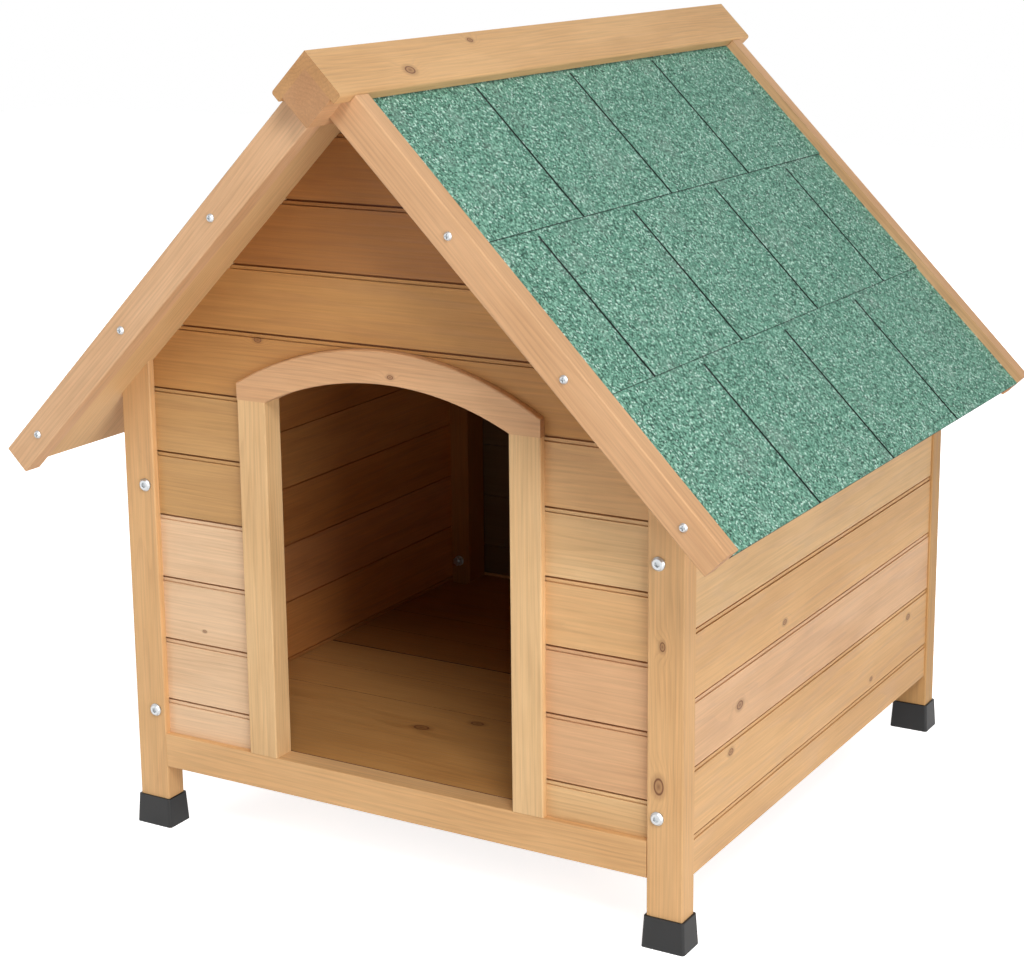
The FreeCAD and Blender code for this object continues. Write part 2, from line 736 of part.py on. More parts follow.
def roof_felt(side):
    """Mineral felt: courses of square tabs whose slots are staggered, and the underlay they lie on."""
    sense = SIDES[side]
    eave = f"({EAVE} + felt_lip)"
    low, high = "deck_thick", "(deck_thick + underlay_thick)"
    sheet = [beam_at(low), on_roof(eave, low), on_roof(eave, high), beam_at(high)]
    underlay = gable_piece(f"underlay_{side}", mirrored(sheet, sense), DECK_LONG, DECK_FRONT)
    rows = math.ceil(value(f"{eave} - beam_side") / value("course_long"))
    thin, full = f"({CAP_UNDER} - shingle_lift)", CAP_UNDER
    tabs = []
    for row in range(rows):
        foot = f"({eave} - {row} * course_long)"
        head = f"({foot} - course_long)"
        points = [on_roof(foot, full), on_roof(foot, high)]
        if row == rows - 1:
            points += [beam_at(high), beam_at(thin)]
        else:
            points += [on_roof(head, high), on_roof(head, thin)]
        body = gable_piece(f"tabs_{side}_{row + 1}", mirrored(points, sense), DECK_LONG, DECK_FRONT)
        cut_slots(body, sense, head if row < rows - 1 else "0", foot, row)
        tabs.append(body)
    group(f"roof_felt_{side}", tabs)
    return underlay


def cut_slots(body, sense, head, foot, row):
    """Slots between a course's tabs, half a tab further along in every second course."""
    first = "slot_first" if row % 2 == 0 else "(slot_first - tab_pitch / 2)"
    near_x = on_roof(f"{head} + slot_stop", CAP_UNDER)[0]
    if head == "0":
        near_x = f"({BEAM_CORNER} + slot_stop)"
    far_x = on_roof(f"{foot} + slot_wide", CAP_UNDER)[0]
    points = [
        (near_x, f"{first} - slot_wide / 2"),
        (far_x, f"{first} - slot_wide / 2"),
        (far_x, f"{first} + slot_wide / 2"),
        (near_x, f"{first} + slot_wide / 2"),
    ]
    sketch = closed_outline(add_sketch(body, "XY"), mirrored(points, sense))
    slot = pocket(body, sketch, backwards=True)
    doc.recompute()
    spare = value(f"{DECK_LONG} - {first} - slot_wide / 2 - last_tab")
    count = 1 + math.floor(spare / value("tab_pitch"))
    if count > 1:
        pattern = body.newObject("PartDesign::LinearPattern", f"{body.Name}_slots")
        pattern.Originals = [slot]
        pattern.Direction = (sketch, ["V_Axis"])
        pattern.setExpression("Length", ex(f"{count - 1} * tab_pitch"))
        pattern.Occurrences = count
        body.Tip = pattern


# ---------------------------------------------------------------- fastenings


def turned(name, points, x, y, z):
    """A piece turned about a line along Y: (radius, distance along Y) points."""
    body = add_body(name, x=x, y=y, z=z)
    sketch = closed_outline(add_sketch(body, "XY"), points)
    feature = body.newObject("PartDesign::Revolution", f"{name}_turned")
    feature.Profile = sketch
    feature.ReferenceAxis = (sketch, ["V_Axis"])
    feature.Angle = 360
    return body


def hexagon(flats):
    ring = []
    for corner in range(6):
        turn = f"{60 * corner + 30}"
        reach = f"({flats}) / (2 * cos(30))"
        ring.append((f"{reach} * cos({turn})", f"{reach} * sin({turn})"))
    return ring


def cross(wide, slot):
    """The twelve corners of a cross recess."""
    arm, half = f"({wide}) / 2", f"({slot}) / 2"
    quarter = [(arm, f"-{half}"), (arm, half), (half, half)]
    ring = []
    for _ in range(4):
        ring += quarter
        quarter = [(f"-({v})", u) for u, v in quarter]
    return ring


def recess(body, outline, head_high, depth, sense):
    """A drive sunk into the outer face of a head."""
    sketch = closed_outline(add_sketch(body, "XZ", f"{sense} * {head_high}"), outline)
    pocket(body, sketch, depth, backwards=sense < 0)


def corner_bolt(name, x, y, z, sense):
    """A flat-headed bolt with a hexagon socket, its head outside and its thread in the corner."""
    grip = "post_depth + post_width + washer_thick + nut_high + thread_past"
    head, shank = "(bolt_head / 2)", "(bolt_size / 2)"
    points = [
        ("0", f"{sense} * (-bolt_head_high)"),
        (f"{head} - bolt_head_high / 2", f"{sense} * (-bolt_head_high)"),
        (head, f"{sense} * (-bolt_head_high / 2)"),
        (head, "0"),
        (shank, "0"),
        (shank, f"{sense} * ({grip})"),
        ("0", f"{sense} * ({grip})"),
    ]
    body = turned(name, points, x, y, z)
    recess(body, hexagon("socket_flats"), "bolt_head_high", "socket_deep", sense)
    return body


def ring_on_bolt(name, outline, thick, x, y, z, sense):
    """A washer or a nut: an outline with the bolt's hole through it, on the cleat's far face."""
    body = add_body(name, x=x, y=y, z=z)
    sketch = add_sketch(body, "XZ")
    if isinstance(outline, str):
        circles(sketch, [("0", "0")], outline)
    else:
        closed_outline(sketch, outline)
    pad(body, sketch, thick, backwards=sense > 0)
    hole = circles(add_sketch(body, "XZ"), [("0", "0")], "bolt_size + fit_gap / 3")
    pocket(body, hole, "4 * bolt_size", both_ways=True)
    return body


def corner_fastenings():
    bolts, nuts = [], []
    for end, sense in ENDS.items():
        face = FRONT if end == "front" else BACK
        inside = f"{face} + {sense} * (post_depth + post_width)"
        for side, across in SIDES.items():
            for level, height in BOLT_HEIGHTS.items():
                tag = f"{end}_{side}_{level}"
                place = (f"{across} * {BOLT_X}", height)
                bolts.append(corner_bolt(f"bolt_{tag}", place[0], face, place[1], sense))
                nuts.append(ring_on_bolt(f"washer_{tag}", "washer_wide", "washer_thick",
                                         place[0], inside, place[1], sense))
                nuts.append(ring_on_bolt(f"nut_{tag}", hexagon("nut_flats"), "nut_high", place[0],
                                         f"{inside} + {sense} * washer_thick", place[1], sense))
    group("corner_bolts", bolts)
    group("corner_nuts", nuts)


def barge_screws():
    """Pan-head screws through the barge boards into the ends of the decks."""
    screws = []
    head, shank, point = "(screw_head / 2)", "(screw_size / 2)", "(screw_size * 1.5)"
    for end, sense in ENDS.items():
        face = f"{FRONT} - front_overhang" if end == "front" else f"{BACK} + rear_overhang"
        for side, across in SIDES.items():
            for number, place in enumerate(screw_places(across), start=1):
                points = [
                    ("0", f"{sense} * (-screw_head_high)"),
                    (f"{head} - screw_head_high / 2", f"{sense} * (-screw_head_high)"),
                    (head, f"{sense} * (-screw_head_high / 3)"),
                    (head, "0"),
                    (shank, "0"),
                    (shank, f"{sense} * (screw_long - {point})"),
                    ("0", f"{sense} * screw_long"),
                ]
                screw = turned(f"screw_{end}_{side}_{number}", points, place[0], face, place[1])
                recess(screw, cross("recess_wide", "recess_slot"), "screw_head_high", "recess_deep", sense)
                screws.append(screw)
    group("barge_screws", screws)


# ---------------------------------------------------------------- the house

for end in ENDS:
    for side in SIDES:
        post(side, end)
        foot_cap(side, end)
        barge_board(side, end)
bottom_rail("front_sill_rail", "front")
bottom_rail("rear_rail", "rear")
door_header()
ridge_beam()
for side in SIDES:
    door_jamb(side)
    side_wall(side)
    roof_deck(side)
    ridge_cap(side)
group("corner_cleats", [corner_cleat(side, end) for side in SIDES for end in ENDS])
group("felt_underlay", [roof_felt(side) for side in SIDES])
front_wall()
rear_wall()
floor_bearers()
for end in ENDS:
    floor_half(end)
corner_fastenings()
barge_screws()

doc.recompute()
for obj in doc.Objects:
    if "Invalid" in obj.State or "Error" in obj.State:
        raise RuntimeError(f"{obj.Label} failed: {obj.State}")
for name, obj in nodes.items():
    if obj.Shape.isNull() or not obj.Shape.isValid() or not obj.Shape.Solids:
        raise RuntimeError(f"{name} has no valid solid")

os.makedirs("parts", exist_ok=True)
for name, obj in nodes.items():
    obj.Shape.exportStep(f"parts/{name}.step")
print(len(nodes), "nodes,", sum(len(obj.Shape.Solids) for obj in nodes.values()), "solids")
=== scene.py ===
import math

import bmesh
import bpy
from mathutils import Euler, Matrix, Vector


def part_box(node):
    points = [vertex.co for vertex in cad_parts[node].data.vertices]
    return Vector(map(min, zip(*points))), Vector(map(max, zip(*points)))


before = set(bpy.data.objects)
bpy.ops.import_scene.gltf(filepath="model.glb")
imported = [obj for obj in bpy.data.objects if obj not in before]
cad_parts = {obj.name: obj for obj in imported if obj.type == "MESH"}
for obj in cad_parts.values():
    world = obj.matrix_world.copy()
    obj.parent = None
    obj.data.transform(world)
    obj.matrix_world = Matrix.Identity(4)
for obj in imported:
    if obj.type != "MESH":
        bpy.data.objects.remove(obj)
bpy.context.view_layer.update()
scene = bpy.context.scene

# ---------------------------------------------------------------- camera
# The photographer stands off the front right corner of the house, a little above its ridge, with a
# short telephoto lens. The picture's optical centre lies left of its middle and above it.

LENS_AT = Vector((1.11616, -1.99654, 0.93579))
LOOKS_ALONG = Vector((-0.5005, 0.8361, -0.2242)).normalized()
CAMERA_ROLL = -0.0129
SENSOR_MM = 36
LENS_MM = 78.47
LENS_SHIFT = (0.0281, -0.0697)

camera_data = bpy.data.cameras.new("camera")
camera = bpy.data.objects.new("camera", camera_data)
scene.collection.objects.link(camera)
level_right = LOOKS_ALONG.cross(Vector((0, 0, 1))).normalized()
level_up = level_right.cross(LOOKS_ALONG)
camera_right = level_right * math.cos(CAMERA_ROLL) + level_up * math.sin(CAMERA_ROLL)
camera_up = level_up * math.cos(CAMERA_ROLL) - level_right * math.sin(CAMERA_ROLL)
turn = Matrix((camera_right, camera_up, -LOOKS_ALONG)).transposed()
camera.matrix_world = Matrix.Translation(LENS_AT) @ turn.to_4x4()
camera_data.sensor_width = SENSOR_MM
camera_data.lens = LENS_MM
camera_data.shift_x, camera_data.shift_y = LENS_SHIFT
scene.camera = camera

# ---------------------------------------------------------------- corner posts
# Four uprights of planed spruce, 36 by 25 mm, dipped in a honey-coloured stain. They stand in their
# foot caps and carry the roof. The boards of the front and back walls slip into a groove in each.

HONEY = "#D8AC77"
GOLDEN = "#C1965F"
PALE_PATCH = (1.06, 1.06, 1.08)
DEEP_PATCH = (0.84, 0.76, 0.66)
LATE_WOOD = (0.62, 0.5, 0.4)
END_GRAIN = (0.72, 0.64, 0.56)
FACES_THAT_WAY = 0.9
RING_MM = 4.5
WANDER_MM = 42
WANDER_REACH = 0.017
FIBRE_MM = 1.8
PATCH_MM = 55
KNOT_BROWN = "#6B3C1C"
KNOT_LENGTHWISE = 0.6
KNOT_PUSH = 0.007


def linear(hex_colour, share=(1, 1, 1)):
    """A shader colour from an sRGB hex value, times a share of each channel."""
    channels = [int(hex_colour[i : i + 2], 16) / 255 for i in (1, 3, 5)]
    straight = [c / 12.92 if c <= 0.04045 else ((c + 0.055) / 1.055) ** 2.4 for c in channels]
    return (*[min(1.0, c * part) for c, part in zip(straight, share)], 1.0)


def add(tree, kind, settings=None, **links):
    """Adds a node; settings are its properties, and links go to its inputs by name or number."""
    node = tree.nodes.new(kind)
    for name, setting in (settings or {}).items():
        if name in node.inputs:
            node.inputs[name].default_value = setting
        elif name.startswith("input"):
            node.inputs[int(name[5:])].default_value = setting
        else:
            setattr(node, name, setting)
    for name, socket in links.items():
        wanted = int(name[5:]) if name.startswith("input") else name.replace("_", " ")
        tree.links.new(socket, node.inputs[wanted])
    return node


def new_finish(name):
    """A new material, its node tree and the surface shader in it."""
    material = bpy.data.materials.new(name)
    material.use_nodes = True
    return material, material.node_tree, material.node_tree.nodes["Principled BSDF"]


def finish_of(piece, material):
    """Gives a piece of the house the material, all over."""
    piece.data.materials.clear()
    piece.data.materials.append(material)


def along_z():
    """The turn that brings an upright's grain along X, where the wood patterns are drawn."""
    return (0, math.radians(90), 0)


def stained_spruce(name, tone, grain, pith, ring_mm=RING_MM, knots=(), joints_and_shade_plane=None):
    """Planed spruce under a thin honey stain, which sinks deeper into the soft early wood.

    tone may be a pair, for planks left and right of the doorway. grain turns the piece's length to
    the pattern's X, and pith is where the heart of the log lies then, in metres. knots are
    (place in the house, radius in mm). The last argument is a plane: its direction, its distance in
    metres, and the share of the colour behind it; this darkens the joint gaps, and paints shade on
    what lies behind, such as the inner side of a wall.
    """
    material, tree, surface = new_finish(name)
    place = add(tree, "ShaderNodeTexCoord").outputs["Object"]
    turned = add(tree, "ShaderNodeMapping", {"Rotation": grain}, Vector=place).outputs[0]
    far_from_knots = [from_knot(tree, turned, grain, spot, radius) for spot, radius in knots]
    late = late_wood(tree, turned, pith, ring_mm, far_from_knots)
    # fibres drawn out along the piece; real ones are too fine to show, so these are far coarser
    fibre_place = add(tree, "ShaderNodeMapping", {"Scale": (0.02, 1, 1)}, Vector=turned)
    fibres = add(
        tree, "ShaderNodeTexNoise", {"Scale": 1000 / FIBRE_MM, "Detail": 3.0, "Roughness": 0.6},
        Vector=fibre_place.outputs[0],
    ).outputs["Fac"]
    wood_colour = stain_colour(tree, place, turned, tone, late, fibres)
    for far in far_from_knots:
        wood_colour = knot_colour(tree, wood_colour, far)
    wood_colour = darker_end_grain(tree, wood_colour, grain)
    if joints_and_shade_plane:
        wood_colour = joints_and_painted_shade(tree, wood_colour, place, *joints_and_shade_plane)
    tree.links.new(wood_colour, surface.inputs["Base Color"])
    # a thin stain leaves the fibres to be felt: late wood stands proud and is a little smoother
    rough = add(tree, "ShaderNodeMapRange", {"To Min": 0.66, "To Max": 0.54}, Value=late)
    tree.links.new(rough.outputs[0], surface.inputs["Roughness"])
    relief = add(
        tree, "ShaderNodeMath", {"operation": "MULTIPLY_ADD", "input1": 0.3}, input0=late,
        input2=fibres,
    )
    bump = add(
        tree, "ShaderNodeBump", {"Strength": 0.3, "Distance": 0.0003}, Height=relief.outputs[0]
    )
    tree.links.new(bump.outputs[0], surface.inputs["Normal"])
    surface.inputs["IOR"].default_value = 1.5
    return material


def late_wood(tree, turned, pith, ring_mm, far_from_knots):
    """The growth rings, from 0 in early wood to 1 in late wood, bent round each knot."""
    centred = add(tree, "ShaderNodeMapping", {"Location": (0.0, -pith[0], -pith[1])}, Vector=turned)
    # the rings wander by up to a centimetre along the trunk
    drawn_out = add(tree, "ShaderNodeMapping", {"Scale": (0.1, 1, 1)}, Vector=centred.outputs[0])
    wander = add(
        tree, "ShaderNodeTexNoise", {"Scale": 1000 / WANDER_MM, "Detail": 2.0, "Roughness": 0.5},
        Vector=drawn_out.outputs[0],
    )
    swing = add(
        tree, "ShaderNodeVectorMath", {"operation": "MULTIPLY_ADD",
        "input1": (0, 2 * WANDER_REACH, 2 * WANDER_REACH),
        "input2": (0, -WANDER_REACH, -WANDER_REACH)}, input0=wander.outputs["Color"],
    )
    bent = add(
        tree, "ShaderNodeVectorMath", {"operation": "ADD"}, input0=centred.outputs[0],
        input1=swing.outputs[0],
    ).outputs[0]
    for far in far_from_knots:
        bent = round_the_knot(tree, bent, far)
    # a wave of scale 1 has a ring every tenth of pi metres
    rings = add(
        tree, "ShaderNodeTexWave", {"wave_type": "RINGS", "rings_direction": "X",
        "wave_profile": "SAW", "Scale": math.pi / 10 / (ring_mm / 1000)}, Vector=bent,
    )
    late = add(tree, "ShaderNodeValToRGB", {}, Fac=rings.outputs["Fac"])
    greys(late, ((0.0, 0.3), (0.12, 0.0), (0.5, 0.15), (0.9, 1.0)))
    return late.outputs["Color"]


def stain_colour(tree, place, turned, tone, late, fibres):
    """The stain's colour: patchy, darker in the late wood and uneven from fibre to fibre."""
    # it lies unevenly, in patches as long as a hand
    patch_place = add(tree, "ShaderNodeMapping", {"Scale": (0.3, 1, 1)}, Vector=turned)
    patches = add(
        tree, "ShaderNodeTexNoise", {"Scale": 1000 / PATCH_MM, "Detail": 4.0, "Roughness": 0.55},
        Vector=patch_place.outputs[0],
    )
    patchy = add(
        tree, "ShaderNodeMapRange", {"From Min": 0.36, "From Max": 0.64, "To Min": 0.0,
        "To Max": 0.5}, Value=patches.outputs["Fac"],
    ).outputs[0]
    base = add(
        tree, "ShaderNodeMix", {"data_type": "RGBA"}, input0=patchy,
        input6=plank_tone(tree, place, tone, PALE_PATCH),
        input7=plank_tone(tree, place, tone, DEEP_PATCH),
    )
    # late wood takes more stain where the patches are deep
    ring_share = add(tree, "ShaderNodeMapRange", {"To Min": 0.1, "To Max": 0.5}, Value=patchy)
    ring_depth = add(
        tree, "ShaderNodeMath", {"operation": "MULTIPLY"}, input0=late, input1=ring_share.outputs[0]
    )
    ringed = add(
        tree, "ShaderNodeMix", {"data_type": "RGBA"}, input0=ring_depth.outputs[0],
        input6=base.outputs[2], input7=plank_tone(tree, place, tone, LATE_WOOD),
    )
    fibre_light = add(
        tree, "ShaderNodeMapRange", {"From Min": 0.3, "From Max": 0.7, "To Min": 0.89,
        "To Max": 1.08}, Value=fibres,
    )
    return add(
        tree, "ShaderNodeVectorMath", {"operation": "SCALE"}, input0=ringed.outputs[2],
        Scale=fibre_light.outputs[0],
    ).outputs[0]


def plank_tone(tree, place, tone, share):
    """The plank's colour times a share of each channel; a pair of tones parts at the doorway."""
    left, right = tone if isinstance(tone, tuple) else (tone, tone)
    side = add(tree, "ShaderNodeSeparateXYZ", {}, Vector=place)
    at_right = add(
        tree, "ShaderNodeMath", {"operation": "GREATER_THAN", "input1": 0.0}, input0=side.outputs["X"]
    )
    return add(
        tree, "ShaderNodeMix", {"data_type": "RGBA", "input6": linear(left, share),
        "input7": linear(right, share)}, input0=at_right.outputs[0],
    ).outputs[2]


def darker_end_grain(tree, wood_colour, grain):
    """End grain drinks more stain than the sides of a piece."""
    lengthwise = Euler(grain).to_matrix().transposed() @ Vector((1, 0, 0))
    facing = add(tree, "ShaderNodeNewGeometry").outputs["True Normal"]
    along = add(
        tree, "ShaderNodeVectorMath", {"operation": "DOT_PRODUCT", "input1": tuple(lengthwise)},
        input0=facing,
    )
    either_way = add(tree, "ShaderNodeMath", {"operation": "ABSOLUTE"}, input0=along.outputs["Value"])
    is_end = add(
        tree, "ShaderNodeMath", {"operation": "GREATER_THAN", "input1": FACES_THAT_WAY},
        input0=either_way.outputs[0],
    )
    return add(
        tree, "ShaderNodeMix", {"data_type": "RGBA", "blend_type": "MULTIPLY",
        "input7": (*END_GRAIN, 1)}, input0=is_end.outputs[0], input6=wood_colour,
    ).outputs[2]


def greys(ramp_node, stops):
    """Sets a ramp's stops, given as (place, grey)."""
    ramp = ramp_node.color_ramp
    ramp.interpolation = "EASE"
    for stop, (at, grey) in enumerate(stops):
        step = ramp.elements[stop] if stop < 2 else ramp.elements.new(at)
        step.position = at
        step.color = (grey, grey, grey, 1)


def from_knot(tree, turned, grain, spot, radius):
    """How far each point is from a knot, in knot radii. Knots are oval along the board."""
    middle = Euler(grain).to_matrix() @ Vector(spot)
    gap = add(
        tree, "ShaderNodeVectorMath", {"operation": "SUBTRACT", "input1": tuple(middle)}, input0=turned
    )
    oval = add(
        tree, "ShaderNodeVectorMath", {"operation": "MULTIPLY", "input1": (KNOT_LENGTHWISE, 1, 1)},
        input0=gap.outputs[0],
    )
    far = add(tree, "ShaderNodeVectorMath", {"operation": "LENGTH"}, input0=oval.outputs[0])
    return add(
        tree, "ShaderNodeMath", {"operation": "DIVIDE", "input1": radius / 1000},
        input0=far.outputs["Value"],
    ).outputs[0]


def round_the_knot(tree, bent, far):
    """Pushes the rings aside near a knot, so that they flow round it."""
    share = add(
        tree, "ShaderNodeMapRange", {"From Max": 4.0, "To Min": 1.0, "To Max": 0.0,
        "interpolation_type": "SMOOTHSTEP"}, Value=far,
    )
    push = add(
        tree, "ShaderNodeVectorMath", {"operation": "SCALE", "input0": (0, KNOT_PUSH, KNOT_PUSH)},
        Scale=share.outputs[0],
    )
    return add(
        tree, "ShaderNodeVectorMath", {"operation": "ADD"}, input0=bent, input1=push.outputs[0]
    ).outputs[0]


def knot_colour(tree, wood_colour, far):
    """The knot's own brown, darkest in a thin ring at its rim, with a stained halo."""
    half_far = add(tree, "ShaderNodeMath", {"operation": "MULTIPLY", "input1": 0.5}, input0=far)
    brown = add(tree, "ShaderNodeValToRGB", {}, Fac=half_far.outputs[0])
    greys(brown, ((0.0, 0.8), (0.28, 0.5), (0.4, 1.0), (0.5, 0.3), (0.9, 0.0)))
    return add(
        tree, "ShaderNodeMix", {"data_type": "RGBA", "input7": linear(KNOT_BROWN)},
        input0=brown.outputs["Color"], input6=wood_colour,
    ).outputs[2]


post_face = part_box("post_front_right")[0].y
for post, tone, pith, knots in (
    ("post_front_left", HONEY, (0.07, 0.31), ()),
    (
        "post_front_right", HONEY, (-0.02, 0.35),
        (((0.290, post_face, 0.289), 3.0), ((0.287, post_face, 0.157), 5.5)),
    ),
    # The rear posts' darker golden tone is partly painted shade under the eaves.
    ("post_rear_left", GOLDEN, (0.05, 0.27), ()),
    ("post_rear_right", GOLDEN, (-0.06, 0.31), ()),
):
    spruce = stained_spruce(f"{post}_spruce", tone, along_z(), pith, knots=knots)
    finish_of(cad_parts[post], spruce)

# ---------------------------------------------------------------- foot caps
# Black boots moulded in soft plastic and pushed over the foot of each post, to keep it off wet
# ground. The mould gives them a fine even texture and a dull sheen.

MOULD_GRAIN_MM = 0.9
DUST_MM = 18

moulded_black, tree, surface = new_finish("moulded_black_plastic")
place = add(tree, "ShaderNodeTexCoord").outputs["Object"]
mould_grain = add(
    tree, "ShaderNodeTexNoise", {"Scale": 1000 / MOULD_GRAIN_MM, "Detail": 2.0}, Vector=place
)
dust = add(tree, "ShaderNodeTexNoise", {"Scale": 1000 / DUST_MM, "Detail": 4.0}, Vector=place)
dusty = add(
    tree, "ShaderNodeMapRange", {"From Min": 0.4, "From Max": 0.75, "To Min": 0.0, "To Max": 0.35},
    Value=dust.outputs["Fac"],
)
black = add(
    tree, "ShaderNodeMix", {"data_type": "RGBA", "input6": linear("#090A0B"),
    "input7": linear("#17191B")}, input0=dusty.outputs[0],
)
tree.links.new(black.outputs[2], surface.inputs["Base Color"])
bump = add(
    tree, "ShaderNodeBump", {"Strength": 0.3, "Distance": 0.0002}, Height=mould_grain.outputs["Fac"]
)
tree.links.new(bump.outputs[0], surface.inputs["Normal"])
surface.inputs["Roughness"].default_value = 0.55
surface.inputs["IOR"].default_value = 1.5
for cap in ("front_left", "front_right", "rear_left", "rear_right"):
    finish_of(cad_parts[f"foot_cap_{cap}"], moulded_black)

# ---------------------------------------------------------------- rails and doorway
# The front rail is the doorway's sill. Two jambs stand on it and carry the header, which is sawn
# from one board to an arch. All are spruce, planed flush with the posts.

SAND = "#DDB784"
FAWN = "#D2A579"


def along_x():
    """No turn: the grain of rails, planks and the header already runs along X."""
    return (0, 0, 0)


header_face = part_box("door_header")[0].y
for piece, tone, grain, pith, knots in (
    ("front_sill_rail", HONEY, along_x(), (-0.26, 0.04), ()),
    ("rear_rail", HONEY, along_x(), (0.38, 0.05), ()),
    ("door_jamb_left", SAND, along_z(), (0.10, -0.16), ()),
    ("door_jamb_right", SAND, along_z(), (-0.08, 0.18), ()),
    ("door_header", FAWN, along_x(), (-0.30, 0.40), (((0.0095, header_face, 0.504), 2.2),)),
):
    finish_of(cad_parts[piece], stained_spruce(f"{piece}_spruce", tone, grain, pith, knots=knots))

# ---------------------------------------------------------------- front wall
# Tongue-and-groove boards let into the posts and jambs, each course sawn from another plank, so
# their tones differ. Towards the roof they grow darker, partly as painted shade under the overhang.
# A rebate along each joint leaves a shadow line and a narrow land.

PALE = "#E2BF98"
AMBER = "#BB884C"
# The darkest tone; wherever it is used, it stands in part for painted shade.
UMBER_PAINTED_SHADE = "#A36C34"
JOINT_DEPTH = 0.003


def joints_and_painted_shade(tree, wood_colour, place, direction, distance, share):
    """Darkens all behind a plane by a share: the joint gaps, and, as painted shade, a wall's inner side
    and the floor's underside.
    """
    out = add(
        tree, "ShaderNodeVectorMath", {"operation": "DOT_PRODUCT", "input1": direction}, input0=place
    )
    behind = add(
        tree, "ShaderNodeMath", {"operation": "LESS_THAN", "input1": distance},
        input0=out.outputs["Value"],
    )
    return add(
        tree, "ShaderNodeMix", {"data_type": "RGBA", "blend_type": "MULTIPLY", "input7": (*share, 1)},
        input0=behind.outputs[0], input6=wood_colour,
    ).outputs[2]


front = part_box("front_board_1")[0].y
# All that lies over 3 mm behind the face is darkened: the joint gaps, and the wall's inner side as
# painted shade.
front_joints_and_inner_shade = ((0, -1, 0), -front - JOINT_DEPTH, (0.62, 0.45, 0.32))
for course, (tone, height, depth, knots) in enumerate(
    (
        ((PALE, SAND), 0.05, -0.36, ()),
        ((PALE, FAWN), 0.14, -0.33, ()),
        ((PALE, FAWN), 0.28, -0.35, (((-0.225, front, 0.218), 1.6),)),
        ((PALE, HONEY), 0.26, -0.37, ()),
        ((GOLDEN, SAND), 0.40, -0.34, (((0.254, front, 0.406), 4.0),)),
        ((GOLDEN, HONEY), 0.47, -0.38, ()),
        (AMBER, 0.46, -0.33, (((-0.146, front, 0.524), 3.0),)),
        (AMBER, 0.55, -0.36, ()),
        (UMBER_PAINTED_SHADE, 0.66, -0.35, ()),
        (UMBER_PAINTED_SHADE, 0.64, -0.33, ()),
        (UMBER_PAINTED_SHADE, 0.78, -0.35, ()),
    ),
    start=1,
):
    spruce = stained_spruce(
        f"front_course_{course}_spruce", tone, along_x(), (depth, height), knots=knots,
        joints_and_shade_plane=front_joints_and_inner_shade,
    )
    finish_of(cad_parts[f"front_board_{course}"], spruce)

# ---------------------------------------------------------------- side walls
# The same boards, nailed to cleats in the corners and running from post to post. The first one is
# ripped narrower and the last is sawn to the slope of the roof. The left wall is free of knots.

ROSY = "#DAB086"


def along_y():
    """The turn that brings the grain of a side board along X, where the patterns are drawn."""
    return (0, 0, math.radians(-90))


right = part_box("side_board_right_1")[1].x
for side, outside in (("left", -1), ("right", 1)):
    # All that lies over 3 mm behind the outer face is darkened: the joint gaps, and the wall's inner
    # side as painted shade.
    side_joints_and_inner_shade = ((outside, 0, 0), right - JOINT_DEPTH, (0.9, 0.62, 0.38))
    for course, (tone, height, depth, right_knots) in enumerate(
        (
            (HONEY, 0.03, 0.34, ()),
            (
                HONEY, 0.16, 0.36,
                (
                    ((right, -0.207, 0.157), 3.5),
                    ((right, 0.152, 0.115), 2.5),
                    ((right, 0.261, 0.153), 3.5),
                ),
            ),
            (ROSY, 0.18, 0.33, (((right, -0.188, 0.197), 4.5),)),
            (HONEY, 0.29, 0.35, (((right, -0.085, 0.248), 3.0),)),
            (SAND, 0.34, 0.36, ()),
            (HONEY, 0.42, 0.34, ()),
            (HONEY, 0.50, 0.33, ()),
        ),
        start=1,
    ):
        knots = right_knots if side == "right" else ()
        spruce = stained_spruce(
            f"{side}_course_{course}_spruce", tone, along_y(), (outside * depth, height),
            knots=knots, joints_and_shade_plane=side_joints_and_inner_shade,
        )
        finish_of(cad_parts[f"side_board_{side}_{course}"], spruce)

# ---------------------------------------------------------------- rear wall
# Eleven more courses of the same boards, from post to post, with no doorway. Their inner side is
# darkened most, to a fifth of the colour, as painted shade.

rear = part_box("rear_boards")[1].y
rear_joints_and_inner_shade = ((0, 1, 0), rear - JOINT_DEPTH, (0.2, 0.2, 0.2))
spruce = stained_spruce(
    "rear_boards_spruce", HONEY, along_x(), (0.37, 0.42), joints_and_shade_plane=rear_joints_and_inner_shade
)
finish_of(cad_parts["rear_boards"], spruce)

# ---------------------------------------------------------------- cleats and bearers
# Rough-sawn spruce that doesn't show from outside: uprights in the corners, which the side boards
# are nailed to, and the rails along the sides that the floor lies on.

# Their dark tone is painted shade inside the house.
for piece, grain, pith in (
    ("corner_cleats", along_z(), (0.0, 0.33)),
    ("floor_bearers", along_y(), (0.0, 0.04)),
):
    finish_of(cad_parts[piece], stained_spruce(f"{piece}_spruce", UMBER_PAINTED_SHADE, grain, pith))

# ---------------------------------------------------------------- floor
# Two loose halves that lift out for cleaning: wide planks, planed and thinly stained, nailed
# across two battens. The eased edges between the planks, and all of each plank below its top face,
# are darkened as painted shade. The rear half's darker tone is painted shade deep in the house.

FLOOR_RING_MM = 6.0
EASED_EDGE = 0.0001

